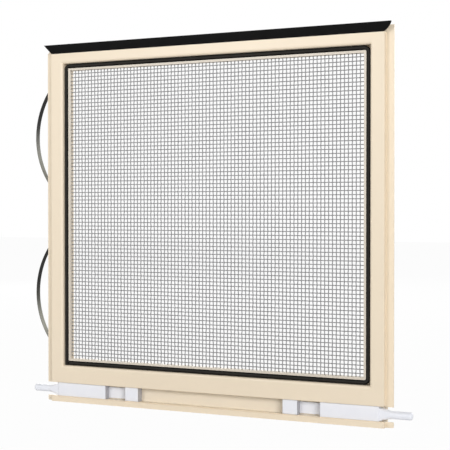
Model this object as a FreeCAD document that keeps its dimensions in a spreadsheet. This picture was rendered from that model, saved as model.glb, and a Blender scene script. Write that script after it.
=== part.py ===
import FreeCAD, Part
import math
import os
import Sketcher

# A half screen for a storm window: four mitred aluminium profiles hold a woven
# screen, two bow springs press it sideways and two sliding latches lock it.
# X runs across the window, Y from the front face backwards and Z upwards.
# The origin is at the middle of the bottom edge, on the plane of the front face.

SIZES = {
    "face_width": 370.0,
    "frame_height": 373.0,
    "frame_depth": 13.4,
    "skin": 1.4,
    "side_land": 11.7,
    "top_land": 8.5,
    "bottom_land": 15.8,
    "shoulder": 2.5,
    "groove_wide": 4.8,
    "groove_deep": 9.3,
    "lip_wide": 2.3,
    "lip_front": 4.0,
    "cloth_mid": 7.6,
    "cloth_thick": 1.8,
    "cloth_room": 0.3,
    "cloth_seat": 1.6,
    "fin_reach": 7.85,
    "fin_front": 5.5,
    "fin_thick": 1.4,
    "fin_rise": 7.0,
    "fin_foot": 19.6,
    "fin_bevel": 6.0,
    "lower_lip": 5.4,
    "channel_high": 15.4,
    "channel_deep": 12.0,
    "bead_front": 1.4,
    "bead_thick": 1.2,
    "bead_high": 0.5,
    "tab_round": 1.2,
    "key_play": 0.3,
    "key_reach": 14.0,
    "key_front": 3.1,
    "key_bevel": 1.5,
    "key_bore": 4.0,
    "spline_size": 4.5,
    "spline_play": 0.1,
    "spline_bend": 5.2,
    "spline_tight": 3.2,
    "spline_gap": 0.5,
    "mesh_column_count": 12,
    "mesh_row_count": 10,
    "mesh_bar": 3.0,
    "mesh_wall": 0.8,
    "mesh_ridge": 0.9,
    "flap_high": 9.3,
    "flap_lean": 3.2,
    "flap_thick": 1.3,
    "flap_over": 7.3,
    "flap_round": 9.0,
    "flap_play": 0.1,
    "flap_heel": 5.5,
    "flap_end_play": 5.0,
    "bow_radius": 85.7,
    "bow_reach": 24.2,
    "bow_thick": 0.5,
    "bow_wide": 6.2,
    "bow_play": 0.2,
    "bow_low": 116.0,
    "bow_drop": 89.0,
    "hook_wide": 3.6,
    "hook_thick": 0.6,
    "hook_play": 0.3,
    "latch_play": 0.1,
    "latch_front": 3.0,
    "latch_inset": 6.1,
    "latch_length": 59.0,
    "latch_wall": 1.0,
    "latch_end_wall": 1.5,
    "latch_round": 0.8,
    "bolt_axis": 12.1,
    "bolt_depth": 7.9,
    "bolt_radius": 3.75,
    "bolt_reach": 25.7,
    "bolt_tip": 2.2,
    "bolt_play": 0.1,
    "bolt_travel": 18.0,
    "cone_start": 2.6,
    "cone_length": 9.6,
    "neck_high": 11.4,
    "head_step": 1.6,
    "head_start": 38.0,
    "head_end": 45.2,
    "plate_thick": 1.3,
    "plate_lift": 0.2,
    "pocket_wide": 23.3,
    "tab_wide": 15.8,
    "tab_grip": 1.2,
    "coil_radius": 2.5,
    "coil_wire": 0.7,
    "coil_turn_count": 8,
}

doc = FreeCAD.newDocument("window_screen")
sheet = doc.addObject("Spreadsheet::Sheet", "Sizes")
for row, (name, value) in enumerate(SIZES.items(), start=1):
    sheet.set(f"A{row}", name)
    sheet.set(f"B{row}", str(value))
    sheet.setAlias(f"B{row}", name)
sums = doc.addObject("Spreadsheet::Sheet", "Sums")
doc.recompute()

# Places that several pieces share, as expressions on the sheet.
FACE_HALF = "(Sizes.face_width / 2)"
GROOVE_OUT = f"({FACE_HALF} - Sizes.side_land - Sizes.shoulder)"
GROOVE_TOP = "(Sizes.frame_height - Sizes.top_land - Sizes.shoulder)"
CHANNEL_TOP = "(Sizes.lower_lip + Sizes.channel_high)"
GROOVE_LOW = f"({CHANNEL_TOP} + Sizes.bottom_land + Sizes.shoulder)"
GROOVE_TO_EDGE = "(Sizes.groove_wide + Sizes.lip_wide)"
OPEN_HALF = f"({GROOVE_OUT} - {GROOVE_TO_EDGE})"
OPEN_TOP = f"({GROOVE_TOP} - {GROOVE_TO_EDGE})"
OPEN_LOW = f"({GROOVE_LOW} + {GROOVE_TO_EDGE})"
LAND_OUT = f"({FACE_HALF} - Sizes.side_land)"
LAND_TOP = "(Sizes.frame_height - Sizes.top_land)"
LAND_LOW = f"({CHANNEL_TOP} + Sizes.bottom_land)"
FIN_OUT = f"({FACE_HALF} + Sizes.fin_reach)"
FIN_BACK = "(Sizes.fin_front + Sizes.fin_thick)"
FIN_TOP = "(Sizes.frame_height + Sizes.fin_rise)"
ROOM_BACK = "(Sizes.frame_depth - Sizes.skin)"
FAR = f"({FIN_OUT} + 30)"

bodies = []


def new_body(label):
    body = doc.addObject("PartDesign::Body", label)
    body.Label = label
    bodies.append(body)
    return body


def flat_sketch(body, role, name, offset="0"):
    """A sketch on one of the body's own origin planes, shifted along its normal."""
    sketch = body.newObject("Sketcher::SketchObject", name)
    plane = [p for p in body.Origin.OriginFeatures if p.Role == role][0]
    sketch.AttachmentSupport = [(plane, "")]
    sketch.MapMode = "FlatFace"
    sketch.setExpression("AttachmentOffset.Base.z", offset)
    return sketch


def add_loop(sketch, corners):
    """A closed outline whose corners are held by expressions from the origin."""
    first = sketch.GeometryCount
    count = len(corners)
    start = [
        FreeCAD.Vector(50 * math.cos(2 * math.pi * i / count), 50 * math.sin(2 * math.pi * i / count), 0)
        for i in range(count)
    ]
    sketch.addGeometry([Part.LineSegment(start[i], start[(i + 1) % count]) for i in range(count)], False)
    sketch.addConstraint([
        Sketcher.Constraint("Coincident", first + i, 2, first + (i + 1) % count, 1) for i in range(count)
    ])
    held = []
    texts = []
    for i, (across, up) in enumerate(corners):
        for kind, text, value in (("DistanceX", across, start[i].x), ("DistanceY", up, start[i].y)):
            held.append(Sketcher.Constraint(kind, -1, 1, first + i, 1, value))
            texts.append(text)
    for index, text in zip(sketch.addConstraint(held), texts):
        sketch.setExpression(f"Constraints[{index}]", text)


def add_circle(sketch, across, up, radius):
    """A circle whose centre and radius are held by expressions."""
    first = sketch.addGeometry(Part.Circle(FreeCAD.Vector(1, 1, 0), FreeCAD.Vector(0, 0, 1), 5), False)
    for kind, text in (("DistanceX", across), ("DistanceY", up)):
        index = sketch.addConstraint(Sketcher.Constraint(kind, -1, 1, first, 3, 1.0))
        sketch.setExpression(f"Constraints[{index}]", text)
    index = sketch.addConstraint(Sketcher.Constraint("Radius", first, 5.0))
    sketch.setExpression(f"Constraints[{index}]", radius)


def rectangle(left, low, right, high):
    return [(left, low), (right, low), (right, high), (left, high)]


def pad(body, sketch, length, back=False, middle=False):
    feature = body.newObject("PartDesign::Pad", sketch.Name + "_pad")
    feature.Profile = sketch
    feature.setExpression("Length", length)
    feature.Reversed = back
    feature.Midplane = middle
    sketch.Visibility = False
    return feature


def pocket(body, sketch, length, middle=False, back=False):
    """A cut that is known to remove material: the volume is compared."""
    doc.recompute()
    before = body.Shape.Volume
    feature = body.newObject("PartDesign::Pocket", sketch.Name + "_cut")
    feature.Profile = sketch
    feature.setExpression("Length", length)
    feature.Midplane = middle
    feature.Reversed = back
    doc.recompute()
    if body.Shape.Volume > before - 0.01:
        raise RuntimeError(f"{feature.Name} cuts nothing")
    return feature


def edges_where(feature, test):
    """The names of a feature's edges that pass a test on the edge itself."""
    found = []
    for number, edge in enumerate(feature.Shape.Edges, start=1):
        if test(edge):
            found.append(f"Edge{number}")
    if not found:
        raise RuntimeError(f"no edge found on {feature.Name}")
    return found


def fillet(body, base, test, radius):
    doc.recompute()
    feature = body.newObject("PartDesign::Fillet", base.Name + "_round")
    feature.Base = (base, edges_where(base, test))
    feature.setExpression("Radius", radius)
    doc.recompute()
    return feature


def number(text):
    """What an expression on the sizes comes to, worked out in a cell of a second sheet."""
    sums.set("A1", "=" + text)
    sums.recompute()
    value = sums.get("A1")
    return float(getattr(value, "Value", value))


def near(a, b, reach=0.01):
    return abs(a - b) < reach


# The frame's section, seen from the opening's edge outwards. Each corner is
# (distance outwards from the opening, depth); the rails and stiles share it.
INNER_EDGE = [
    (GROOVE_TO_EDGE, "Sizes.frame_depth"),
    (GROOVE_TO_EDGE, "Sizes.groove_deep + Sizes.skin"),
    ("0", "Sizes.groove_deep + Sizes.skin"),
    ("0", "Sizes.cloth_mid + Sizes.cloth_thick / 2 + Sizes.cloth_room"),
    ("Sizes.cloth_seat", "Sizes.cloth_mid + Sizes.cloth_thick / 2 + Sizes.cloth_room"),
    ("Sizes.cloth_seat", "Sizes.cloth_mid - Sizes.cloth_thick / 2 - Sizes.cloth_room"),
    ("0", "Sizes.cloth_mid - Sizes.cloth_thick / 2 - Sizes.cloth_room"),
    ("0", "Sizes.lip_front"),
    ("Sizes.lip_wide", "Sizes.lip_front"),
    ("Sizes.lip_wide", "Sizes.groove_deep"),
    (GROOVE_TO_EDGE, "Sizes.groove_deep"),
    (GROOVE_TO_EDGE, "0"),
]
ROOM_EDGE = f"({GROOVE_TO_EDGE} + Sizes.skin)"
ROOM_CORNER = [
    (ROOM_EDGE, ROOM_BACK),
    (ROOM_EDGE, "Sizes.skin + Sizes.shoulder / 2"),
    (f"({ROOM_EDGE} + Sizes.shoulder / 2)", "Sizes.skin"),
]


def round_shoulder(body, base, place):
    """Rounds the long edge between the face and the groove."""

    def on_corner(edge):
        ends = [v.Point for v in edge.Vertexes]
        return len(ends) == 2 and all(place(p) and near(p.y, 0) for p in ends)

    return fillet(body, base, on_corner, "Sizes.shoulder")


# Side stiles
def stile(label, side):
    body = new_body(label)
    section = flat_sketch(body, "XY_Plane", label + "_section")
    outer = [(f"{side} * ({OPEN_HALF} + {u})", y) for u, y in INNER_EDGE]
    outer += [
        (f"{side} * {FACE_HALF}", "0"),
        (f"{side} * {FACE_HALF}", "Sizes.fin_front"),
        (f"{side} * {FIN_OUT}", "Sizes.fin_front"),
        (f"{side} * {FIN_OUT}", FIN_BACK),
        (f"{side} * {FACE_HALF}", FIN_BACK),
        (f"{side} * {FACE_HALF}", "Sizes.frame_depth"),
    ]
    add_loop(section, outer)
    room = [(f"{side} * ({OPEN_HALF} + {u})", y) for u, y in ROOM_CORNER]
    room += [
        (f"{side} * ({FACE_HALF} - Sizes.skin)", "Sizes.skin"),
        (f"{side} * ({FACE_HALF} - Sizes.skin)", ROOM_BACK),
    ]
    add_loop(section, room)
    bar = pad(body, section, FIN_TOP)
    groove_side = side * number(GROOVE_OUT)
    round_shoulder(body, bar, lambda p: near(p.x, groove_side))

    # The mitres turn where the flat face begins, because the lands differ in width.
    slack = "Sizes.shoulder"
    low_end = flat_sketch(body, "XZ_Plane", label + "_low_end")
    add_loop(low_end, [
        (f"{side} * ({OPEN_HALF} - {slack})", f"{OPEN_LOW} + {slack}"),
        (f"{side} * {LAND_OUT}", LAND_LOW),
        (f"{side} * {FACE_HALF}", CHANNEL_TOP),
        (f"{side} * {FACE_HALF}", "Sizes.fin_foot"),
        (f"{side} * {FAR}", "Sizes.fin_foot"),
        (f"{side} * {FAR}", "-5"),
        (f"{side} * ({OPEN_HALF} - {slack})", "-5"),
    ])
    pocket(body, low_end, "Sizes.frame_depth + 5")
    top_end = flat_sketch(body, "XZ_Plane", label + "_top_end")
    add_loop(top_end, [
        (f"{side} * ({OPEN_HALF} - {slack})", f"{OPEN_TOP} - {slack}"),
        (f"{side} * {LAND_OUT}", LAND_TOP),
        (f"{side} * {FACE_HALF}", "Sizes.frame_height"),
        (f"{side} * {FACE_HALF}", f"{FIN_TOP} + 5"),
        (f"{side} * ({OPEN_HALF} - {slack})", f"{FIN_TOP} + 5"),
    ])
    pocket(body, top_end, "Sizes.frame_depth + 5")
    return body


left_stile = stile("left_stile", -1)
right_stile = stile("right_stile", 1)

# The left fin's top corner is cut away under the flap's slanting end.
left_corner = flat_sketch(left_stile, "XZ_Plane", "left_fin_corner")
add_loop(left_corner, [
    (f"-{FIN_OUT} - 1", f"{FIN_TOP} - Sizes.fin_bevel - 1"),
    (f"-{FIN_OUT} + Sizes.fin_bevel + 1", f"{FIN_TOP} + 1"),
    (f"-{FIN_OUT} - 1", f"{FIN_TOP} + 1"),
])
pocket(left_stile, left_corner, "Sizes.frame_depth")

# Slots in the left stile's outer wall take the hooked ends of the bow springs.
BOW_CENTRE = f"(-{FACE_HALF} - Sizes.bow_reach + Sizes.bow_radius)"
BOW_FLAT = f"(-{FACE_HALF} - Sizes.bow_play)"
BOW_HALF = f"sqrt((Sizes.bow_radius - Sizes.bow_thick)^2 - ({BOW_CENTRE} - {BOW_FLAT})^2)"
BOW_FRONT = f"({FIN_BACK} + Sizes.bow_play)"
BOW_MIDDLE = f"({BOW_FRONT} + Sizes.bow_wide / 2)"
bow_places = ["Sizes.bow_low", "(Sizes.frame_height - Sizes.bow_drop)"]
slots = flat_sketch(left_stile, "YZ_Plane", "bow_slots", f"-{FACE_HALF} - 1")
for place in bow_places:
    for end in (-1, 1):
        near_edge = f"{place} + {end} * ({BOW_HALF} - Sizes.hook_play)"
        far_edge = f"{place} + {end} * ({BOW_HALF} + Sizes.hook_thick + Sizes.hook_play)"
        low = far_edge if end < 0 else near_edge
        high = near_edge if end < 0 else far_edge
        add_loop(slots, rectangle(
            f"{BOW_MIDDLE} - Sizes.hook_wide / 2 - Sizes.hook_play", low,
            f"{BOW_MIDDLE} + Sizes.hook_wide / 2 + Sizes.hook_play", high,
        ))
pocket(left_stile, slots, "Sizes.skin + 2", back=True)

# Top rail
top_rail = new_body("top_rail")
top_section = flat_sketch(top_rail, "YZ_Plane", "top_section")
add_loop(top_section, [(y, f"{OPEN_TOP} + {u}") for u, y in INNER_EDGE] + [
    ("0", "Sizes.frame_height"),
    ("Sizes.fin_front", "Sizes.frame_height"),
    ("Sizes.fin_front", FIN_TOP),
    (FIN_BACK, FIN_TOP),
    (FIN_BACK, "Sizes.frame_height"),
    ("Sizes.frame_depth", "Sizes.frame_height"),
])
add_loop(top_section, [(y, f"{OPEN_TOP} + {u}") for u, y in ROOM_CORNER] + [
    ("Sizes.skin", "Sizes.frame_height - Sizes.skin"),
    (ROOM_BACK, "Sizes.frame_height - Sizes.skin"),
])
top_bar = pad(top_rail, top_section, "Sizes.face_width", middle=True)
groove_top = number(GROOVE_TOP)
round_shoulder(top_rail, top_bar, lambda p: near(p.z, groove_top))
top_ends = flat_sketch(top_rail, "XZ_Plane", "top_mitres")
for side in (-1, 1):
    add_loop(top_ends, [
        (f"{side} * ({OPEN_HALF} - 5)", f"{OPEN_TOP} - 5"),
        (f"{side} * {LAND_OUT}", LAND_TOP),
        (f"{side} * {FACE_HALF}", "Sizes.frame_height"),
        (f"{side} * {FAR}", "Sizes.frame_height"),
        (f"{side} * {FAR}", f"{OPEN_TOP} - 5"),
    ])
pocket(top_rail, top_ends, "Sizes.frame_depth + 5")

# Bottom rail, with the latch channel and the lower lip
bottom_rail = new_body("bottom_rail")
low_section = flat_sketch(bottom_rail, "YZ_Plane", "bottom_section")
BEAD_BACK = "(Sizes.bead_front + Sizes.bead_thick)"
add_loop(low_section, [(y, f"{OPEN_LOW} - {u}") for u, y in INNER_EDGE] + [
    ("0", CHANNEL_TOP),
    ("Sizes.bead_front", CHANNEL_TOP),
    ("Sizes.bead_front", f"{CHANNEL_TOP} - Sizes.bead_high"),
    (BEAD_BACK, f"{CHANNEL_TOP} - Sizes.bead_high"),
    (BEAD_BACK, CHANNEL_TOP),
    ("Sizes.channel_deep", CHANNEL_TOP),
    ("Sizes.channel_deep", "Sizes.lower_lip"),
    (BEAD_BACK, "Sizes.lower_lip"),
    (BEAD_BACK, "Sizes.lower_lip + Sizes.bead_high"),
    ("Sizes.bead_front", "Sizes.lower_lip + Sizes.bead_high"),
    ("Sizes.bead_front", "Sizes.lower_lip"),
    ("0", "Sizes.lower_lip"),
    ("0", "0"),
    ("Sizes.frame_depth", "0"),
])
add_loop(low_section, [(y, f"{OPEN_LOW} - {u}") for u, y in ROOM_CORNER] + [
    ("Sizes.skin", f"{CHANNEL_TOP} + Sizes.skin"),
    (ROOM_BACK, f"{CHANNEL_TOP} + Sizes.skin"),
])
LIP_ROOM_TOP = "(Sizes.lower_lip - Sizes.skin)"
add_loop(low_section, rectangle(FIN_BACK, "Sizes.skin", ROOM_BACK, LIP_ROOM_TOP))
low_bar = pad(bottom_rail, low_section, f"2 * {FIN_OUT}", middle=True)
groove_low = number(GROOVE_LOW)
round_shoulder(bottom_rail, low_bar, lambda p: near(p.z, groove_low))
low_ends = flat_sketch(bottom_rail, "XZ_Plane", "bottom_mitres")
for side in (-1, 1):
    add_loop(low_ends, [
        (f"{side} * ({OPEN_HALF} - 5)", f"{OPEN_LOW} + 5"),
        (f"{side} * {LAND_OUT}", LAND_LOW),
        (f"{side} * {FACE_HALF}", CHANNEL_TOP),
        (f"{side} * {FACE_HALF}", "Sizes.lower_lip"),
        (f"{side} * {FAR}", "Sizes.lower_lip"),
        (f"{side} * {FAR}", f"{OPEN_LOW} + 5"),
    ])
pocket(bottom_rail, low_ends, "Sizes.frame_depth + 5")
# Beyond the face only the lower lip's web is left, in line with the side fins.
web_ends = flat_sketch(bottom_rail, "XY_Plane", "web_ends", "-5")
for side in (-1, 1):
    for front, back in (("-5", "Sizes.fin_front"), (FIN_BACK, "Sizes.frame_depth + 5")):
        across = [f"{side} * {FACE_HALF}", f"{side} * {FAR}"]
        if side < 0:
            across.reverse()
        add_loop(web_ends, rectangle(across[0], front, across[1], back))
web_cut = pocket(bottom_rail, web_ends, "Sizes.lower_lip + 10", back=True)
fin_out = number(FIN_OUT)
fillet(
    bottom_rail,
    web_cut,
    lambda e: all(near(abs(v.X), fin_out) and near(v.Z, 0) for v in e.Vertexes),
    "Sizes.tab_round",
)


# Corner keys inside the mitred corners
def corner_key(label, side, room_low, room_high, up):
    """An L whose legs lie in the hollow of the stile and of the rail."""
    body = new_body(label)
    inner = f"({OPEN_HALF} + {ROOM_EDGE} + Sizes.key_play)"
    outer = f"({FACE_HALF} - Sizes.skin - Sizes.key_play)"
    bevel = "Sizes.key_bevel"
    corner = f"({room_high} - Sizes.key_play)" if up < 0 else f"({room_low} + Sizes.key_play)"
    inside = f"({room_low} + Sizes.key_play)" if up < 0 else f"({room_high} - Sizes.key_play)"
    tip_up = f"({inside} + {up} * Sizes.key_reach)"
    tip_in = f"({inner} - Sizes.key_reach)"
    outline = [
        (outer, f"{corner} + {up} * {bevel}"),
        (outer, f"{tip_up} - {up} * {bevel}"),
        (f"{outer} - {bevel}", tip_up),
        (f"{inner} + {bevel}", tip_up),
        (inner, f"{tip_up} - {up} * {bevel}"),
        (inner, inside),
        (f"{tip_in} + {bevel}", inside),
        (tip_in, f"{inside} - {up} * {bevel}"),
        (tip_in, f"{corner} + {up} * {bevel}"),
        (f"{tip_in} + {bevel}", corner),
        (f"{outer} - {bevel}", corner),
    ]
    sketch = flat_sketch(body, "XZ_Plane", label + "_outline", "-Sizes.key_front")
    add_loop(sketch, [(f"{side} * ({x})", z) for x, z in outline])
    pad(body, sketch, f"{ROOM_BACK} - Sizes.key_play - Sizes.key_front", back=True)
    bore = flat_sketch(body, "XZ_Plane", label + "_bore", "-Sizes.key_front")
    add_circle(bore, f"{side} * ({inner} + {outer}) / 2", f"({corner} + {inside}) / 2", "Sizes.key_bore / 2")
    pocket(body, bore, "Sizes.frame_depth")
    return body


TOP_ROOM = (f"({OPEN_TOP} + {ROOM_EDGE})", "(Sizes.frame_height - Sizes.skin)")
LOW_ROOM = (f"({CHANNEL_TOP} + Sizes.skin)", f"({OPEN_LOW} - {ROOM_EDGE})")
corner_key("corner_key_top_left", -1, TOP_ROOM[0], TOP_ROOM[1], -1)
corner_key("corner_key_top_right", 1, TOP_ROOM[0], TOP_ROOM[1], -1)
corner_key("corner_key_bottom_left", -1, LOW_ROOM[0], LOW_ROOM[1], 1)
corner_key("corner_key_bottom_right", 1, LOW_ROOM[0], LOW_ROOM[1], 1)

# Screen cloth: one thin wall with square openings between ridged bars
cloth = new_body("screen_cloth")
CLOTH_GRIP = "(Sizes.cloth_seat - Sizes.cloth_room)"
CLOTH_HALF = f"({OPEN_HALF} + {CLOTH_GRIP})"
CLOTH_LOW = f"({OPEN_LOW} - {CLOTH_GRIP})"
CLOTH_TOP = f"({OPEN_TOP} + {CLOTH_GRIP})"
wall = flat_sketch(cloth, "XZ_Plane", "cloth_wall", "-(Sizes.cloth_mid - Sizes.mesh_wall / 2)")
add_loop(wall, rectangle(f"-{CLOTH_HALF}", CLOTH_LOW, CLOTH_HALF, CLOTH_TOP))
pad(cloth, wall, "Sizes.mesh_wall", back=True)
STEP_X = f"(2 * {OPEN_HALF} / Sizes.mesh_column_count)"
STEP_Z = f"(({OPEN_TOP} - {OPEN_LOW}) / Sizes.mesh_row_count)"


def spread(body, name, feature, sketch, ways):
    """Repeats a feature along the sketch's axes, each way by its step and count."""
    patterns = []
    for axis, step, count in ways:
        pattern = doc.addObject("PartDesign::LinearPattern", f"{name}_{axis[0]}")
        pattern.Direction = (sketch, [axis])
        pattern.setExpression("Length", f"{step} * ({count} - 1)")
        pattern.setExpression("Occurrences", count)
        patterns.append(pattern)
    doc.recompute()
    before = body.Shape.Volume
    multi = body.newObject("PartDesign::MultiTransform", name)
    multi.Originals = [feature]
    multi.Transformations = patterns
    body.Tip = multi
    doc.recompute()
    if near(body.Shape.Volume, before):
        raise RuntimeError(f"{name} repeats nothing")
    return multi


gap = flat_sketch(cloth, "XZ_Plane", "cloth_gap")
GAP_LEFT = f"(-{OPEN_HALF} + Sizes.mesh_bar / 2)"
GAP_LOW = f"({OPEN_LOW} + Sizes.mesh_bar / 2)"
add_loop(gap, rectangle(
    GAP_LEFT, GAP_LOW, f"{GAP_LEFT} + {STEP_X} - Sizes.mesh_bar", f"{GAP_LOW} + {STEP_Z} - Sizes.mesh_bar",
))
gap_cut = pocket(cloth, gap, "Sizes.frame_depth")
spread(cloth, "gaps", gap_cut, gap, [
    ("H_Axis", STEP_X, "Sizes.mesh_column_count"), ("V_Axis", STEP_Z, "Sizes.mesh_row_count"),
])
upright = flat_sketch(cloth, "XZ_Plane", "upright_ridge", "-(Sizes.cloth_mid - Sizes.cloth_thick / 2)")
middle = f"(-{OPEN_HALF} + {STEP_X})"
add_loop(upright, rectangle(
    f"{middle} - Sizes.mesh_ridge / 2", CLOTH_LOW, f"{middle} + Sizes.mesh_ridge / 2", CLOTH_TOP,
))
ridge = pad(cloth, upright, "Sizes.cloth_thick / 2", back=True)
spread(cloth, "upright_ridges", ridge, upright, [("H_Axis", STEP_X, "(Sizes.mesh_column_count - 1)")])
level = flat_sketch(cloth, "XZ_Plane", "level_ridge", "-Sizes.cloth_mid")
middle = f"({OPEN_LOW} + {STEP_Z})"
add_loop(level, rectangle(
    f"-{CLOTH_HALF}", f"{middle} - Sizes.mesh_ridge / 2", CLOTH_HALF, f"{middle} + Sizes.mesh_ridge / 2",
))
ridge = pad(cloth, level, "Sizes.cloth_thick / 2", back=True)
spread(cloth, "level_ridges", ridge, level, [("V_Axis", STEP_Z, "(Sizes.mesh_row_count - 1)")])

# Flap seal along the top: a foot on the rail and a blade that leans forward
flap = new_body("top_flap_seal")
FLAP_FOOT = "(Sizes.frame_height + Sizes.flap_play)"
FLAP_TOP = "(Sizes.frame_height + Sizes.flap_high)"
FLAP_BACK = "(Sizes.fin_front - Sizes.flap_play)"
blade = flat_sketch(flap, "YZ_Plane", "flap_blade")
add_loop(blade, [
    ("0", FLAP_FOOT),
    ("Sizes.flap_thick", FLAP_FOOT),
    ("Sizes.flap_thick - Sizes.flap_lean", FLAP_TOP),
    ("-Sizes.flap_lean", FLAP_TOP),
])
pad(flap, blade, f"2 * ({FACE_HALF} + Sizes.flap_over)", middle=True)
slant = flat_sketch(flap, "XZ_Plane", "flap_left_end", "Sizes.flap_lean + 1")
add_loop(slant, [
    (f"-{FACE_HALF} + Sizes.flap_play * 5", f"{FLAP_FOOT} - Sizes.flap_play * 5"),
    (f"-{FACE_HALF} - Sizes.flap_over", FLAP_TOP),
    (f"-{FACE_HALF} - Sizes.flap_over - 2", f"{FLAP_FOOT} - Sizes.flap_play * 5"),
])
pocket(flap, slant, "Sizes.frame_depth")
rounded = flat_sketch(flap, "XZ_Plane", "flap_right_end", "Sizes.flap_lean + 1")
FLAP_END = f"({FACE_HALF} + Sizes.flap_over)"
add_loop(rounded, [(f"{FLAP_END} + 1", f"{FLAP_FOOT} - 1"), (f"{FLAP_END} + 1", f"{FLAP_FOOT} + Sizes.flap_round")] + [
    (
        f"{FLAP_END} - Sizes.flap_round * (1 - cos({angle} deg))",
        f"{FLAP_FOOT} + Sizes.flap_round * (1 - sin({angle} deg))",
    )
    for angle in (0, 18, 36, 54, 72, 90)
] + [(f"{FLAP_END} - Sizes.flap_round", f"{FLAP_FOOT} - 1")])
pocket(flap, rounded, "Sizes.frame_depth")
foot = flat_sketch(flap, "YZ_Plane", "flap_foot", f"-{FACE_HALF} + Sizes.flap_end_play")
add_loop(foot, [
    ("0", FLAP_FOOT),
    (FLAP_BACK, FLAP_FOOT),
    (FLAP_BACK, f"{FLAP_FOOT} + Sizes.flap_heel"),
    (f"{FLAP_BACK} - Sizes.flap_thick", f"{FLAP_FOOT} + Sizes.flap_heel"),
    (f"{FLAP_BACK} - Sizes.flap_thick", f"{FLAP_FOOT} + Sizes.flap_thick"),
    ("0", f"{FLAP_FOOT} + Sizes.flap_thick"),
])
pad(flap, foot, "Sizes.face_width - 2 * Sizes.flap_end_play")


# Bow springs: a bent strip whose ends hook into slots in the left stile
def bow_spring(label, place):
    body = new_body(label)
    ring = flat_sketch(body, "XZ_Plane", label + "_ring", f"-{BOW_FRONT}")
    add_circle(ring, BOW_CENTRE, place, "Sizes.bow_radius")
    add_circle(ring, BOW_CENTRE, place, "Sizes.bow_radius - Sizes.bow_thick")
    pad(body, ring, "Sizes.bow_wide", back=True)
    rest = flat_sketch(body, "XZ_Plane", label + "_rest")
    add_loop(rest, rectangle(
        BOW_FLAT, f"{place} - Sizes.bow_radius - 5", f"{FACE_HALF}", f"{place} + Sizes.bow_radius + 5",
    ))
    pocket(body, rest, "Sizes.frame_depth + 5")
    hooks = flat_sketch(body, "XZ_Plane", label + "_hooks", f"-({BOW_MIDDLE} - Sizes.hook_wide / 2)")
    for end in (-1, 1):
        near_edge = f"{place} + {end} * {BOW_HALF}"
        far_edge = f"{place} + {end} * ({BOW_HALF} + Sizes.hook_thick)"
        low = far_edge if end < 0 else near_edge
        high = near_edge if end < 0 else far_edge
        add_loop(hooks, rectangle(
            f"{BOW_FLAT} - Sizes.hook_thick", low, f"-{FACE_HALF} + Sizes.skin + Sizes.hook_thick", high,
        ))
    pad(body, hooks, "Sizes.hook_wide", back=True)
    return body


bow_spring("lower_bow_spring", bow_places[0])
bow_spring("upper_bow_spring", bow_places[1])

# Latches. Distances run outwards along X from the middle of the frame.
HOUSE_OUT = f"({FACE_HALF} - Sizes.latch_inset)"
HOUSE_IN = f"({HOUSE_OUT} - Sizes.latch_length)"
HOUSE_LOW = "(Sizes.lower_lip + Sizes.latch_play)"
HOUSE_TOP = f"({CHANNEL_TOP} - Sizes.latch_play)"
HOUSE_BACK = "(Sizes.channel_deep - Sizes.latch_play)"
NECK_LOW = "(Sizes.bolt_axis - Sizes.neck_high / 2)"
NECK_TOP = "(Sizes.bolt_axis + Sizes.neck_high / 2)"
BOLT_FRONT = "(Sizes.bolt_depth - Sizes.bolt_radius)"
BOLT_BACK = "(Sizes.bolt_depth + Sizes.bolt_radius)"
PLATE_BACK = "(Sizes.channel_deep - Sizes.plate_lift)"
PLATE_FRONT = f"({PLATE_BACK} - Sizes.plate_thick)"
TAB_OUT = f"({HOUSE_IN} - Sizes.pocket_wide)"
TAB_IN = f"({TAB_OUT} - Sizes.tab_wide)"
HEAD_IN = f"({HOUSE_IN} + Sizes.head_start)"
HEAD_OUT = f"({HOUSE_IN} + Sizes.head_end)"
CONE_IN = f"({HOUSE_OUT} + Sizes.cone_start)"
CONE_OUT = f"({CONE_IN} + Sizes.cone_length)"
BOLT_TIP = f"({FACE_HALF} + Sizes.bolt_reach)"


def mirrored(side, corners):
    """The same outline on the left or on the right of the frame."""
    return [(f"{side} * ({x})", z) for x, z in corners]


def latch_housing(label, side):
    """A block that lies in the channel and guides the bolt from in front."""
    body = new_body(label)
    block = flat_sketch(body, "XZ_Plane", label + "_block", "-Sizes.latch_front")
    add_loop(block, mirrored(side, rectangle(HOUSE_IN, HOUSE_LOW, HOUSE_OUT, HOUSE_TOP)))
    solid = pad(body, block, f"{HOUSE_BACK} - Sizes.latch_front", back=True)
    front = number("Sizes.latch_front")
    fillet(body, solid, lambda e: all(near(v.Y, front) for v in e.Vertexes), "Sizes.latch_round")
    guide = flat_sketch(body, "XZ_Plane", label + "_guide", f"-({BOLT_FRONT} - Sizes.bolt_play)")
    add_loop(guide, mirrored(side, [
        (f"{HOUSE_IN} + Sizes.latch_end_wall", f"{NECK_LOW} - Sizes.bolt_play"),
        (f"{HOUSE_OUT} + 1", f"{NECK_LOW} - Sizes.bolt_play"),
        (f"{HOUSE_OUT} + 1", f"{NECK_TOP} + Sizes.bolt_play"),
        (f"{HEAD_OUT} + Sizes.bolt_play", f"{NECK_TOP} + Sizes.bolt_play"),
        (f"{HEAD_OUT} + Sizes.bolt_play", f"{NECK_TOP} + Sizes.head_step + Sizes.bolt_play"),
        (f"{HOUSE_IN} + Sizes.latch_end_wall", f"{NECK_TOP} + Sizes.head_step + Sizes.bolt_play"),
    ]))
    pocket(body, guide, "Sizes.frame_depth")
    way = flat_sketch(body, "XZ_Plane", label + "_way", f"-({PLATE_FRONT} - Sizes.bolt_play)")
    add_loop(way, mirrored(side, rectangle(
        f"{HOUSE_IN} - 1", f"{NECK_LOW} - Sizes.bolt_play", f"{HEAD_IN}", f"{NECK_TOP} + Sizes.bolt_play",
    )))
    pocket(body, way, "Sizes.frame_depth")
    return body


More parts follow.
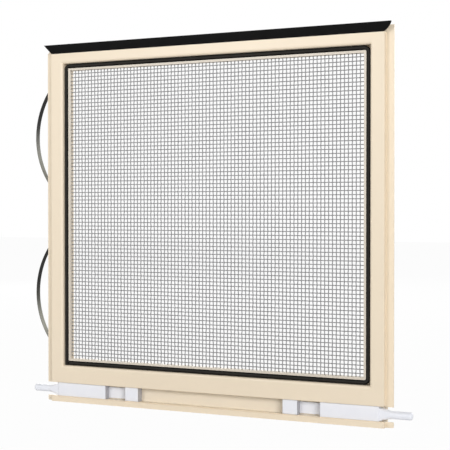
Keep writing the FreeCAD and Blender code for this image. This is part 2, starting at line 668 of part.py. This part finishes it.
def latch_bolt(label, side):
    """Pin, tapered shoulder, neck, plate and finger tab, moulded in one."""
    body = new_body(label)
    half = flat_sketch(body, "XZ_Plane", label + "_pin", "-Sizes.bolt_depth")
    taper = [
        (
            f"{CONE_IN} + Sizes.cone_length * {share}",
            "Sizes.bolt_axis + Sizes.bolt_radius"
            f" + (Sizes.neck_high / 2 - Sizes.bolt_radius) * (1 + cos({share} * 180 deg)) / 2",
        )
        for share in (0, 0.2, 0.4, 0.6, 0.8, 1)
    ]
    add_loop(half, mirrored(side, [
        (BOLT_TIP, "Sizes.bolt_axis"),
        (CONE_IN, "Sizes.bolt_axis"),
        *taper,
        (BOLT_TIP, "Sizes.bolt_axis + Sizes.bolt_radius"),
    ]))
    turned = body.newObject("PartDesign::Revolution", label + "_turned")
    turned.Profile = half
    turned.ReferenceAxis = (half, ["Edge1"])
    turned.Angle = 360
    doc.recompute()
    tip = number(BOLT_TIP)
    radius = number("Sizes.bolt_radius")
    fillet(
        body,
        turned,
        lambda e: len(e.Vertexes) == 1 and near(abs(e.Vertexes[0].X), tip) and near(e.Curve.Radius, radius),
        "Sizes.bolt_tip",
    )
    flats = flat_sketch(body, "XY_Plane", label + "_flats", "Sizes.bolt_axis")
    for front, back in (("-5", BOLT_FRONT), (BOLT_BACK, "Sizes.frame_depth + 5")):
        add_loop(flats, mirrored(side, rectangle(f"{CONE_IN} - 1", front, CONE_OUT, back)))
    pocket(body, flats, "2 * Sizes.neck_high", middle=True)
    neck = flat_sketch(body, "XZ_Plane", label + "_neck", f"-{BOLT_FRONT}")
    add_loop(neck, mirrored(side, [
        (CONE_IN, NECK_LOW),
        (CONE_IN, NECK_TOP),
        (HEAD_OUT, NECK_TOP),
        (HEAD_OUT, f"{NECK_TOP} + Sizes.head_step"),
        (HEAD_IN, f"{NECK_TOP} + Sizes.head_step"),
        (HEAD_IN, NECK_LOW),
    ]))
    pad(body, neck, f"{BOLT_BACK} - {BOLT_FRONT}", back=True)
    plate = flat_sketch(body, "XZ_Plane", label + "_plate", f"-{PLATE_FRONT}")
    add_loop(plate, mirrored(side, rectangle(TAB_IN, NECK_LOW, f"{HEAD_IN} + 1", NECK_TOP)))
    pad(body, plate, f"{BOLT_BACK} - {PLATE_FRONT}", back=True)
    tab = flat_sketch(body, "XZ_Plane", label + "_tab", "-Sizes.latch_front")
    add_loop(tab, mirrored(side, rectangle(TAB_IN, HOUSE_LOW, TAB_OUT, HOUSE_TOP)))
    tab_pad = pad(body, tab, f"{BOLT_BACK} - Sizes.latch_front", back=True)
    front = number("Sizes.latch_front")
    fillet(body, tab_pad, lambda e: all(near(v.Y, front) for v in e.Vertexes), "Sizes.tab_grip")
    return body


for name, side in (("left_latch", -1), ("right_latch", 1)):
    latch_housing(name + "_housing", side)
    latch_bolt(name + "_bolt", side)
doc.recompute()


# Spline: one round cord pressed into the groove, its two ends meeting at the
# lower left corner. Swept along a rounded path by its own wire.
def spline_shape():
    radius = number("Sizes.spline_size") / 2
    centre_in = number("Sizes.groove_wide") / 2
    side_x = number(GROOVE_OUT) - centre_in
    top_z = number(GROOVE_TOP) - centre_in
    low_z = number(GROOVE_LOW) + centre_in
    depth = number("Sizes.groove_deep - Sizes.spline_play") - radius
    bend = number("Sizes.spline_bend")
    tight = number("Sizes.spline_tight")
    start_z = number(GROOVE_LOW) + number("Sizes.spline_play")
    end_x = -side_x + radius + number("Sizes.spline_gap")

    def point(x, z):
        return FreeCAD.Vector(x, depth, z)

    def corner(x, z, in_x, in_z, size):
        """A quarter turn about a centre inside the corner at x, z."""
        begin = point(x + in_x[0] * size, z + in_x[1] * size)
        end = point(x + in_z[0] * size, z + in_z[1] * size)
        middle_x = x + (in_x[0] + in_z[0]) * size * (1 - math.sqrt(0.5))
        middle_z = z + (in_x[1] + in_z[1]) * size * (1 - math.sqrt(0.5))
        return begin, Part.Arc(begin, point(middle_x, middle_z), end), end

    top_left = corner(-side_x, top_z, (0, -1), (1, 0), tight)
    top_right = corner(side_x, top_z, (-1, 0), (0, -1), bend)
    low_right = corner(side_x, low_z, (0, 1), (-1, 0), bend)
    curves = [
        Part.LineSegment(point(-side_x, start_z), top_left[0]),
        top_left[1],
        Part.LineSegment(top_left[2], top_right[0]),
        top_right[1],
        Part.LineSegment(top_right[2], low_right[0]),
        low_right[1],
        Part.LineSegment(low_right[2], point(end_x, low_z)),
    ]
    path = Part.Wire([curve.toShape() for curve in curves])
    section = Part.Wire(Part.makeCircle(radius, point(-side_x, start_z), FreeCAD.Vector(0, 0, 1)))
    cord = path.makePipeShell([section], True, True)
    expected = math.pi * radius**2 * path.Length
    if not near(cord.Volume / expected, 1, 0.01):
        raise RuntimeError("the spline's volume isn't its section times its length")
    return cord


# Coil springs between the housing's end wall and the bolt's head. The wire is
# six-sided and its turns are made of short straight lengths.
def coil_shape(side):
    wire = number("Sizes.coil_wire") / 2
    radius = number("Sizes.coil_radius")
    play = number("Sizes.latch_play")
    begin = number(f"{HOUSE_IN} + Sizes.latch_end_wall") + wire + play
    length = number(HEAD_IN) - wire - play - begin
    centre_y = number(f"({BOLT_FRONT} + {PLATE_FRONT}) / 2")
    centre_z = number("Sizes.bolt_axis")
    lengths = 8
    steps = round(lengths * number("Sizes.coil_turn_count"))
    rings = []
    for step in range(steps + 1):
        turn = 2 * math.pi * step / lengths
        along = begin + length * step / steps
        ring = []
        for corner in range(6):
            lean = math.pi * corner / 3
            out = radius + wire * math.cos(lean)
            ring.append(FreeCAD.Vector(
                side * (along + wire * math.sin(lean)),
                centre_y + out * math.cos(turn),
                centre_z + out * math.sin(turn),
            ))
        rings.append(ring)
    faces = []
    for ring, after in zip(rings, rings[1:]):
        for corner in range(6):
            beside = (corner + 1) % 6
            for three in (
                (ring[corner], ring[beside], after[beside]),
                (ring[corner], after[beside], after[corner]),
            ):
                faces.append(Part.Face(Part.makePolygon([*three, three[0]])))
    for ring in (rings[0], rings[-1]):
        faces.append(Part.Face(Part.makePolygon([*ring, ring[0]])))
    coil = Part.makeSolid(Part.makeShell(faces))
    if coil.Volume < 0:
        coil.reverse()
    return coil


shaped = {
    "spline": spline_shape(),
    "left_latch_spring": coil_shape(-1),
    "right_latch_spring": coil_shape(1),
}
for label, shape in shaped.items():
    feature = doc.addObject("Part::Feature", label)
    feature.Label = label
    feature.Shape = shape
    bodies.append(feature)
doc.recompute()

for item in doc.Objects:
    if "Invalid" in item.State or "Error" in item.State:
        raise RuntimeError(f"{item.Name} failed: {item.State}")
for item in bodies:
    if item.Shape.isNull() or not item.Shape.isValid() or len(item.Shape.Solids) != 1:
        raise RuntimeError(f"{item.Label} is not one valid solid")

os.makedirs("parts", exist_ok=True)
for item in bodies:
    item.Shape.exportStep(f"parts/{item.Label}.step")
    box = item.Shape.BoundBox
    print(
        f"{item.Label}: {item.Shape.Volume:.0f} mm3, X {box.XMin:.2f} to {box.XMax:.2f}, "
        f"Y {box.YMin:.2f} to {box.YMax:.2f}, Z {box.ZMin:.2f} to {box.ZMax:.2f}"
    )
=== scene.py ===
import math

import bpy
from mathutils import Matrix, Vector


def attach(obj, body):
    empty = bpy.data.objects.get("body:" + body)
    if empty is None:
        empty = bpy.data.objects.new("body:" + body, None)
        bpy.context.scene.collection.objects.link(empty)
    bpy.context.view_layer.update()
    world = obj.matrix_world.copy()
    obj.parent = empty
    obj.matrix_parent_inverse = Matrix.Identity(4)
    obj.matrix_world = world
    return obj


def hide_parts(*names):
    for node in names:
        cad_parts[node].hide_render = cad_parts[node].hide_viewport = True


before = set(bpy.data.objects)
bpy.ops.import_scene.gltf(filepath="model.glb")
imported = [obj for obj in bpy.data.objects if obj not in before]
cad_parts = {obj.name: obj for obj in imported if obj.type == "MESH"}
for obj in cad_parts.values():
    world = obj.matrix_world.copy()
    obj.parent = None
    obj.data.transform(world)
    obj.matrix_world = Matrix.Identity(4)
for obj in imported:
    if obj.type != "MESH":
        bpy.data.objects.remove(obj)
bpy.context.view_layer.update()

mm = 0.001  # lengths below are written in millimetres
seam = 0.02 * mm
near = 0.1 * mm
smoothBelow = math.radians(40)


def letGo():
    if bpy.context.object and bpy.context.object.mode != "OBJECT":
        bpy.ops.object.mode_set(mode="OBJECT")
    bpy.ops.object.select_all(action="DESELECT")


def takeUp(piece):
    letGo()
    piece.select_set(True)
    bpy.context.view_layer.objects.active = piece


def named(name):
    piece = bpy.context.object
    piece.name = name
    piece.data.name = name
    return piece


def pickVerts(piece, test):
    bpy.ops.object.mode_set(mode="OBJECT")
    for poly in piece.data.polygons:
        poly.select = False
    for edge in piece.data.edges:
        edge.select = False
    for vert in piece.data.vertices:
        vert.select = test(vert.co)
    bpy.ops.object.mode_set(mode="EDIT")
    bpy.ops.mesh.select_mode(type="VERT")


def settle(piece):
    takeUp(piece)
    bpy.ops.object.transform_apply(location=True, rotation=True, scale=True)


def arrayed(piece, count, step, merge=False):
    takeUp(piece)
    repeat = piece.modifiers.new("repeat", "ARRAY")
    repeat.count = count
    repeat.use_relative_offset = False
    repeat.use_constant_offset = True
    repeat.constant_offset_displace = step
    repeat.use_merge_vertices = merge
    repeat.merge_threshold = seam
    bpy.ops.object.modifier_apply(modifier=repeat.name)


def joined(pieces, name):
    takeUp(pieces[0])
    for piece in pieces[1:]:
        piece.select_set(True)
    bpy.ops.object.join()
    return named(name)


def dressed(piece, material):
    piece.data.materials.clear()
    piece.data.materials.append(material)


class Wire:
    def __init__(self, finish, socket):
        self.finish = finish
        self.socket = socket

    def does(self, operation, *others, clamp=False):
        inputs = {0: self}
        inputs.update({i + 1: other for i, other in enumerate(others)})
        return self.finish.node("ShaderNodeMath", {"operation": operation, "use_clamp": clamp}, inputs)[0]

    def __add__(self, other):
        return self.does("ADD", other)

    def __sub__(self, other):
        return self.does("SUBTRACT", other)

    def __mul__(self, other):
        return self.does("MULTIPLY", other)

    def __rsub__(self, other):
        return self.finish.node("ShaderNodeMath", {"operation": "SUBTRACT"}, {0: other, 1: self})[0]

    def past(self, start, fade):
        return (self - start * mm).does("MULTIPLY", 1 / (fade * mm), clamp=True)

    def before(self, end, fade):
        return (end * mm - self).does("MULTIPLY", 1 / (fade * mm), clamp=True)

    __radd__ = __add__
    __rmul__ = __mul__


class Outputs:
    def __init__(self, finish, made):
        self.finish = finish
        self.made = made

    def __getitem__(self, key):
        return Wire(self.finish, self.made.outputs[key])


class Finish:
    def __init__(self, name, **shader):
        self.material = bpy.data.materials.new(name)
        self.material.use_nodes = True
        self.tree = self.material.node_tree
        self.shader = self.tree.nodes["Principled BSDF"]
        for key, value in shader.items():
            self.shader.inputs[key.replace("_", " ")].default_value = value
        self.place = self.node("ShaderNodeTexCoord")["Object"]

    def node(self, kind, settings=None, inputs=None):
        made = self.tree.nodes.new(kind)
        for key, value in (settings or {}).items():
            setattr(made, key, value)
        for key, value in (inputs or {}).items():
            if isinstance(value, Wire):
                self.tree.links.new(value.socket, made.inputs[key])
            else:
                made.inputs[key].default_value = value
        return Outputs(self, made)

    def set(self, **links):
        for key, wire in links.items():
            self.tree.links.new(wire.socket, self.shader.inputs[key.replace("_", " ")])

    def axis(self, letter):
        return self.node("ShaderNodeSeparateXYZ", None, {0: self.place})[letter]

    def noise(self, size, detail=2.0, stretch=(1, 1, 1)):
        place = self.node("ShaderNodeMapping", None, {"Vector": self.place, "Scale": stretch})["Vector"]
        return self.node("ShaderNodeTexNoise", None, {
            "Vector": place, "Scale": 1 / (size * mm), "Detail": detail})["Fac"]

    def between(self, amount, low, high):
        mixed = self.node("ShaderNodeMix", {"data_type": "RGBA"}, {0: amount, 6: low, 7: high})
        return Wire(self, mixed.made.outputs[2])

    def rough(self, noise, middle, swing):
        self.set(Roughness=noise * swing + (middle - swing / 2))

    def bumps(self, height, depth):
        bump = self.node("ShaderNodeBump", None, {"Height": height, "Distance": depth * mm})
        self.set(Normal=bump["Normal"])


def blend(first, second, share):
    return first * share + second * (1 - share)


def toLinear(red, green, blue):
    parts = [c / 255 for c in (red, green, blue)]
    return tuple(c / 12.92 if c <= 0.04045 else ((c + 0.055) / 1.055) ** 2.4 for c in parts) + (1.0,)


enamelLook = {
    "light": (246, 230, 205), "shade": (241, 225, 200), "roughness": 0.45, "swing": 0.1,
    "coat": 0.15, "coatRoughness": 0.25, "streak": 0.5, "drawn": 0.004, "cloud": 60, "grain": 0.25,
    "cloudShare": 0.7, "streakShare": 0.6, "relief": 0.004,
}
# painted shade and cloth-edge grey on the inner lip
lipShadeGrey = {"halfX": 168.7, "low": 41.2, "high": 359.9, "back": 9.0, "edge": 0.2, "tone": (219, 209, 194)}
# painted shade that greys the channel with depth
channelShade = {"front": 4.0, "fade": 6.0, "back": 12.8, "edge": 0.4, "tone": (239, 228, 209)}


def enamel(name, along, recessShade=None):
    look = enamelLook
    finish = Finish(name, Coat_Weight=look["coat"], Coat_Roughness=look["coatRoughness"])
    stretch = tuple(look["drawn"] if axis == along else 1.0 for axis in range(3))
    streaks = finish.noise(look["streak"], 3.0, stretch)
    cloud = finish.noise(look["cloud"])
    grain = finish.noise(look["grain"])
    paint = finish.between(
        blend(cloud, streaks, look["cloudShare"]), toLinear(*look["shade"]), toLinear(*look["light"]))
    across, depth, upward = (finish.axis(letter) for letter in "XYZ")
    # painted shade: the inner lip is greyed for the shade in its recess and for the edge of the cloth
    # lying over it
    edge = lipShadeGrey["edge"]
    lip = across.does("ABSOLUTE").before(lipShadeGrey["halfX"], edge)
    lip = lip * upward.past(lipShadeGrey["low"], edge) * upward.before(lipShadeGrey["high"], edge)
    lip = lip * depth.before(lipShadeGrey["back"], edge)
    paint = finish.between(lip, paint, toLinear(*lipShadeGrey["tone"]))
    if recessShade is not None:
        # painted shade: the channel greys deeper in, where its walls shade it, and none on the back
        deep = depth.past(recessShade["front"], recessShade["fade"]) * depth.before(recessShade["back"], recessShade["edge"])
        paint = finish.between(deep, paint, toLinear(*recessShade["tone"]))
    finish.set(Base_Color=paint)
    finish.rough(streaks, look["roughness"], look["swing"])
    finish.bumps(blend(streaks, grain, look["streakShare"]), look["relief"])
    return finish.material


rubberLook = {"cloud": 14, "swing": 0.16, "relief": 0.02}
# painted highlight along the front of the spline cord
cordHighlight = {"front": 3.05, "fade": 0.9, "least": 0.7}


def rubber(name, dark, light, roughness, grainSize, gloss=0.5, frontHighlight=None):
    finish = Finish(name, Specular_IOR_Level=gloss)
    grain = finish.noise(grainSize, 3.0)
    cloud = finish.noise(rubberLook["cloud"])
    if frontHighlight is not None:
        # painted highlight: the foremost strip is paler, and the flanks carry painted shade
        front = 1 - finish.axis("Y").past(frontHighlight["front"], frontHighlight["fade"])
        cloud = front * (cloud * (1 - frontHighlight["least"]) + frontHighlight["least"])
    finish.set(Base_Color=finish.between(cloud, toLinear(*dark), toLinear(*light)))
    finish.rough(grain, roughness, rubberLook["swing"])
    finish.bumps(grain, rubberLook["relief"])
    return finish.material


nylonLook = {"shade": (241, 243, 251), "light": (246, 248, 254), "roughness": 0.36, "swing": 0.12,
             "flow": 9, "grain": 0.35, "relief": 0.006}
# painted shade on the latch flanks
flankShade = {"edge": 0.25, "fade": 0.1, "tone": (176, 177, 184), "housing": (119.9,), "tab": (80.8, 96.6)}


def nylon(name, flanks):
    finish = Finish(name)
    flow = finish.noise(nylonLook["flow"])
    grain = finish.noise(nylonLook["grain"])
    skin = finish.between(flow, toLinear(*nylonLook["shade"]), toLinear(*nylonLook["light"]))
    # painted shade greys the flanks: the housing's open end and the tab's sides, which lie in shade
    across = finish.axis("X").does("ABSOLUTE")
    for flank in flanks:
        onFlank = (across - flank * mm).does("ABSOLUTE").before(flankShade["edge"], flankShade["fade"])
        skin = finish.between(onFlank, skin, toLinear(*flankShade["tone"]))
    finish.set(Base_Color=skin)
    finish.rough(grain, nylonLook["roughness"], nylonLook["swing"])
    finish.bumps(grain, nylonLook["relief"])
    return finish.material


steelLook = {"metal": 0.7, "roughness": 0.4, "swing": 0.16, "streak": 0.4, "drawn": (1.0, 0.03, 1.0),
             "cloud": 11, "cloudShare": 0.6, "relief": 0.01}
# painted reflection along each bow spring
bowReflection = {"below": 48, "length": 62, "share": 0.85, "lowBow": 116, "highBow": 284,
          "dark": (18, 18, 17), "light": (112, 111, 101)}


def steel(name, dark, light, middle=None):
    finish = Finish(name, Metallic=steelLook["metal"])
    streaks = finish.noise(steelLook["streak"], 3.0, steelLook["drawn"])
    cloud = finish.noise(steelLook["cloud"], 3.0)
    shade = blend(cloud, streaks, steelLook["cloudShare"])
    if middle is not None:
        # painted reflection: a bow is darker towards its upper end and paler below
        rise = finish.axis("Z").past(middle - bowReflection["below"], bowReflection["length"])
        shade = blend(1 - rise, shade, bowReflection["share"])
    finish.set(Base_Color=finish.between(shade, toLinear(*dark), toLinear(*light)))
    finish.rough(streaks, steelLook["roughness"], steelLook["swing"])
    finish.bumps(streaks, steelLook["relief"])
    return finish.material


threadLook = {"shade": (138, 138, 140), "light": (165, 165, 166), "roughness": 0.5, "swing": 0.2,
              "cloud": 30, "grain": 0.3, "cloudShare": 0.6, "relief": 0.02}


def threadFinish(name):
    finish = Finish(name)
    cloud = finish.noise(threadLook["cloud"])
    grain = finish.noise(threadLook["grain"])
    shade = blend(cloud, grain, threadLook["cloudShare"])
    finish.set(Base_Color=finish.between(
        shade, toLinear(*threadLook["shade"]), toLinear(*threadLook["light"])))
    finish.rough(grain, threadLook["roughness"], threadLook["swing"])
    finish.bumps(grain, threadLook["relief"])
    return finish.material


enamelAcross = enamel("almondEnamelAcross", 0)
enamelUpright = enamel("almondEnamelUpright", 2)
enamelChannel = enamel("almondEnamelChannel", 0, channelShade)
splineRubber = rubber("splineRubber", (5, 5, 4), (50, 48, 45), 0.5, 0.6, 0.05, cordHighlight)
flapRubber = rubber("flapRubber", (15, 15, 15), (21, 21, 21), 0.55, 0.4, 0.08)
housingNylon = nylon("housingNylon", flankShade["housing"])
boltNylon = nylon("boltNylon", flankShade["tab"])
lowBowSteel = steel("lowBowSteel", bowReflection["dark"], bowReflection["light"], bowReflection["lowBow"])
highBowSteel = steel("highBowSteel", bowReflection["dark"], bowReflection["light"], bowReflection["highBow"])
springWire = steel("springWire", (150, 150, 150), (185, 185, 185))
keyPlastic = rubber("keyPlastic", (70, 70, 72), (84, 84, 86), 0.55, 0.5)
meshThread = threadFinish("meshThread")
print("finishes made")

nodeFinish = {
    "top_rail": enamelAcross, "bottom_rail": enamelChannel,
    "left_stile": enamelUpright, "right_stile": enamelUpright,
    "corner_key_top_left": keyPlastic, "corner_key_top_right": keyPlastic,
    "corner_key_bottom_left": keyPlastic, "corner_key_bottom_right": keyPlastic,
    "screen_cloth": meshThread, "spline": splineRubber, "top_flap_seal": flapRubber,
    "upper_bow_spring": highBowSteel, "lower_bow_spring": lowBowSteel,
    "left_latch_housing": housingNylon, "right_latch_housing": housingNylon,
    "left_latch_bolt": boltNylon, "right_latch_bolt": boltNylon,
    "left_latch_spring": springWire, "right_latch_spring": springWire,
}
for name, material in nodeFinish.items():
    dressed(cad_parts[name], material)
print("frame nodes dressed")

# the woven screen is one bent cell of wire, repeated along and across
weave = {"pitch": 3.977, "columns": 81, "rows": 77, "columnCells": 78, "rowCells": 82,
         "wire": 0.53, "sides": 6, "lift": 0.48, "middleY": 7.6, "middleZ": 200.55,
         "reach": 165.0, "smooth": 80}


def bentWire(upright, phase, cells):
    pitch = weave["pitch"] * mm
    lift = weave["lift"] * mm * phase
    letGo()
    bpy.ops.mesh.primitive_cylinder_add(
        vertices=weave["sides"], radius=weave["wire"] * mm, depth=pitch, end_fill_type="NOTHING",
        location=(0, 0, pitch / 2))
    wire = named("wire")
    settle(wire)
    for low, side in ((True, 1), (False, -1)):
        pickVerts(wire, lambda co: (co.z < pitch / 2) == low)
        bpy.ops.transform.translate(value=(0, side * lift, 0))
    # the second half of the cell bends the other way
    bpy.ops.mesh.select_all(action="SELECT")
    bpy.ops.mesh.duplicate()
    bpy.ops.transform.translate(value=(0, 0, pitch))
    bpy.ops.object.mode_set(mode="OBJECT")
    half = len(wire.data.vertices) // 2
    for vert in list(wire.data.vertices)[half:]:
        vert.co.y = vert.co.y + (2 * lift if vert.co.z > 1.5 * pitch else -2 * lift)
    arrayed(wire, cells // 2, (0, 0, 2 * pitch), merge=True)
    takeUp(wire)
    bpy.ops.object.mode_set(mode="EDIT")
    bpy.ops.mesh.select_all(action="SELECT")
    bpy.ops.mesh.remove_doubles(threshold=seam)
    bpy.ops.mesh.select_all(action="DESELECT")
    bpy.ops.mesh.select_non_manifold()
    bpy.ops.mesh.edge_face_add()
    bpy.ops.object.mode_set(mode="OBJECT")
    if not upright:
        wire.rotation_euler = (0, math.radians(90), 0)
        settle(wire)
    return wire


def wovenScreen():
    pitch = weave["pitch"]
    sets = []
    for upright, count, cells in (
        (True, weave["columns"], weave["columnCells"]),
        (False, weave["rows"], weave["rowCells"]),
    ):
        first = -(count - 1) / 2 * pitch
        along = -cells / 2 * pitch
        for odd in (0, 1):
            turn = (1 if upright else -1) * (1 if odd else -1)
            wire = bentWire(upright, turn, cells)
            across = first + odd * pitch
            x, z = (across, along) if upright else (along, across)
            wire.location = (x * mm, weave["middleY"] * mm, (weave["middleZ"] + z) * mm)
            settle(wire)
            number = count // 2 + (1 - odd if count % 2 else 0)
            step = 2 * pitch * mm
            arrayed(wire, number, (step, 0, 0) if upright else (0, 0, step))
            sets.append(wire)
    screen = joined(sets, "wovenScreen")
    ends = weave["rowCells"] * pitch / 2 * mm
    pull = weave["reach"] * mm - ends
    for side in (-1, 1):
        pickVerts(screen, lambda co: side * co.x > ends - 4 * near)
        bpy.ops.transform.translate(value=(side * pull, 0, 0))
    bpy.ops.mesh.select_all(action="SELECT")
    bpy.ops.mesh.normals_make_consistent(inside=False)
    bpy.ops.object.mode_set(mode="OBJECT")
    bpy.ops.object.shade_smooth_by_angle(angle=math.radians(weave["smooth"]))
    dressed(screen, meshThread)
    return screen


screen = wovenScreen()
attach(screen, "frame")
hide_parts("screen_cloth")
print("screen woven", len(screen.data.polygons))

# the spline is one open loop: its upright left run ends on the groove's floor, the level one beside it
cord = {"radius": 2.25, "halfX": 168.4, "topZ": 359.6, "lowZ": 41.5, "depth": 5.2, "startZ": 39.2,
        "endX": -165.6, "bend": 5.2, "tight": 3.2, "bendParts": 6, "roundness": 5}


def splineCord():
    letGo()
    bpy.ops.mesh.primitive_plane_add(
        size=mm, location=(-cord["halfX"] * mm, cord["depth"] * mm, cord["startZ"] * mm))
    loop = named("splineCord")
    settle(loop)
    bpy.ops.object.mode_set(mode="EDIT")
    bpy.ops.mesh.select_all(action="SELECT")
    bpy.ops.mesh.merge(type="CENTER")
    for step in ((0, 0, cord["topZ"] - cord["startZ"]), (2 * cord["halfX"], 0, 0),
                 (0, 0, cord["lowZ"] - cord["topZ"]), (cord["endX"] - cord["halfX"], 0, 0)):
        bpy.ops.mesh.extrude_region_move(TRANSFORM_OT_translate={"value": [part * mm for part in step]})
    left = -cord["halfX"] * mm + near
    top = cord["topZ"] * mm - near
    for test, size in (
        (lambda co: co.x > 0, cord["bend"]),
        (lambda co: co.x < left and co.z > top, cord["tight"]),
    ):
        pickVerts(loop, test)
        bpy.ops.mesh.bevel(
            offset=size * mm, offset_type="OFFSET", segments=cord["bendParts"],
            profile=0.5, affect="VERTICES")
    bpy.ops.object.mode_set(mode="OBJECT")
    bpy.ops.object.convert(target="CURVE")
    curve = bpy.context.object
    curve.data.bevel_depth = cord["radius"] * mm
    curve.data.bevel_resolution = cord["roundness"]
    curve.data.use_fill_caps = True
    bpy.ops.object.convert(target="MESH")
    bpy.ops.object.shade_smooth_by_angle(angle=smoothBelow)
    made = named("splineCord")
    dressed(made, splineRubber)
    return made


splineLoop = splineCord()
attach(splineLoop, "frame")
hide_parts("spline")
print("spline laid", len(splineLoop.data.polygons))

flap = {"halfX": 192.3, "lowZ": 373.1, "topZ": 382.3, "thick": 1.3, "lean": -3.2, "slant": 7.8,
        "corner": 8.9, "cornerParts": 9, "profile": 0.36, "footX": 180.0, "footY": 5.4,
        "footThick": 1.3, "heelZ": 378.6, "edge": 0.25, "edgeParts": 2}


def block(name, low, high):
    letGo()
    bpy.ops.mesh.primitive_cube_add(
        size=mm, location=[(a + b) / 2 * mm for a, b in zip(low, high)],
        scale=[b - a for a, b in zip(low, high)])
    piece = named(name)
    settle(piece)
    return piece


def softened(piece):
    takeUp(piece)
    soft = piece.modifiers.new("soft", "BEVEL")
    soft.width = flap["edge"] * mm
    soft.segments = flap["edgeParts"]
    soft.limit_method = "ANGLE"
    soft.angle_limit = smoothBelow
    bpy.ops.object.modifier_apply(modifier=soft.name)
    bpy.ops.object.shade_smooth_by_angle(angle=smoothBelow)


def flapSeal():
    blade = block("flapBlade", (-flap["halfX"], 0, flap["lowZ"]),
                  (flap["halfX"], flap["thick"], flap["topZ"]))
    middle = (flap["lowZ"] + flap["topZ"]) / 2 * mm
    pickVerts(blade, lambda co: co.z > middle)
    bpy.ops.transform.translate(value=(0, flap["lean"] * mm, 0))
    pickVerts(blade, lambda co: co.z < middle and co.x < 0)
    bpy.ops.transform.translate(value=(flap["slant"] * mm, 0, 0))
    pickVerts(blade, lambda co: co.z < middle and co.x > 0)
    bpy.ops.mesh.bevel(
        offset=flap["corner"] * mm, offset_type="OFFSET", segments=flap["cornerParts"],
        profile=flap["profile"], affect="EDGES")
    bpy.ops.object.mode_set(mode="OBJECT")
    foot = block("flapFoot", (-flap["footX"], 0, flap["lowZ"]),
                 (flap["footX"], flap["footY"], flap["lowZ"] + flap["footThick"]))
    heel = block("flapHeel", (-flap["footX"], flap["footY"] - flap["footThick"], flap["lowZ"]),
                 (flap["footX"], flap["footY"], flap["heelZ"]))
    for piece in (blade, foot, heel):
        softened(piece)
    made = joined([blade, foot, heel], "flapSeal")
    dressed(made, flapRubber)
    return made


topFlap = flapSeal()
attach(topFlap, "frame")
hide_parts("top_flap_seal")
print("flap made", len(topFlap.data.polygons))

# places and sizes of the studio are in metres
studio = {
    "worldLight": 0.25, "worldTint": (0.98, 0.99, 1.0, 1), "white": (1, 1, 1, 1), "aim": (0, 0, 0.2),
    "floorSize": 12, "floorDrop": 0.0004, "floorTone": (0.86, 0.86, 0.86, 1), "floorRoughness": 0.9,
    "floorGlow": 0.965,
    "lamps": (((2.85, -2.85, 0.95), 79.0, 1.6), ((-0.60, -1.50, 0.65), 7.6, 0.5),
              ((1.10, 1.70, 0.80), 13.0, 1.0), ((-1.10, 1.70, 0.80), 13.0, 1.0)),
}


def mathNode(tree, operation, first, second):
    made = tree.nodes.new("ShaderNodeMath")
    made.operation = operation
    tree.links.new(first, made.inputs[0])
    if isinstance(second, float):
        made.inputs[1].default_value = second
    else:
        tree.links.new(second, made.inputs[1])
    return made.outputs[0]


def mixedShader(tree, amount, first, second, output):
    mixer = tree.nodes.new("ShaderNodeMixShader")
    tree.links.new(amount, mixer.inputs[0])
    tree.links.new(first.outputs[0], mixer.inputs[1])
    tree.links.new(second.outputs[0], mixer.inputs[2])
    tree.links.new(mixer.outputs[0], output.inputs["Surface"])


def floorLaid():
    letGo()
    bpy.ops.mesh.primitive_plane_add(size=studio["floorSize"], location=(0, 0, -studio["floorDrop"]))
    floor = named("studioFloor")
    material = bpy.data.materials.new("paleFloor")
    material.use_nodes = True
    tree = material.node_tree
    shader = tree.nodes["Principled BSDF"]
    shader.inputs["Base Color"].default_value = studio["floorTone"]
    shader.inputs["Roughness"].default_value = studio["floorRoughness"]
    shader.inputs["Specular IOR Level"].default_value = 0.0
    glow = tree.nodes.new("ShaderNodeEmission")
    glow.inputs["Strength"].default_value = 1.0
    path = tree.nodes.new("ShaderNodeLightPath")
    seen = mathNode(tree, "MULTIPLY", path.outputs["Is Camera Ray"], studio["floorGlow"])
    mixedShader(tree, seen, shader, glow, tree.nodes["Material Output"])
    dressed(floor, material)


def worldLit():
    world = bpy.data.worlds.new("studioWorld")
    bpy.context.scene.world = world
    world.use_nodes = True
    tree = world.node_tree
    tree.nodes.clear()
    lit = tree.nodes.new("ShaderNodeBackground")
    lit.inputs["Color"].default_value = studio["worldTint"]
    lit.inputs["Strength"].default_value = studio["worldLight"]
    white = tree.nodes.new("ShaderNodeBackground")
    white.inputs["Color"].default_value = studio["white"]
    path = tree.nodes.new("ShaderNodeLightPath")
    through = mathNode(tree, "MAXIMUM", path.outputs["Is Glossy Ray"], path.outputs["Is Transmission Ray"])
    seen = mathNode(tree, "MAXIMUM", path.outputs["Is Camera Ray"], through)
    mixedShader(tree, seen, lit, white, tree.nodes.new("ShaderNodeOutputWorld"))


def lampsHung():
    for number, (place, power, size) in enumerate(studio["lamps"]):
        letGo()
        bpy.ops.object.light_add(type="AREA", location=place)
        lamp = bpy.context.object
        lamp.name = "softbox" + str(number)
        lamp.data.energy = power
        lamp.data.size = size
        aim = Vector(studio["aim"]) - lamp.location
        lamp.rotation_euler = aim.to_track_quat("-Z", "Y").to_euler()


view = {"place": (0.4855, -1.0131, 0.2057), "yaw": 24.65, "pitch": -0.77,
        "lens": 89.2, "sensor": 36, "near": 0.01}


def photoCamera():
    letGo()
    bpy.ops.object.camera_add(
        location=view["place"], rotation=(math.radians(90 + view["pitch"]), 0, math.radians(view["yaw"])))
    camera = bpy.context.object
    camera.name = "photoCamera"
    camera.data.sensor_fit = "HORIZONTAL"
    camera.data.sensor_width = view["sensor"]
    camera.data.lens = view["lens"]
    camera.data.clip_start = view["near"]
    bpy.context.scene.camera = camera


floorLaid()
worldLit()
lampsHung()
photoCamera()
bpy.context.scene.view_settings.view_transform = "Standard"
print("studio set")
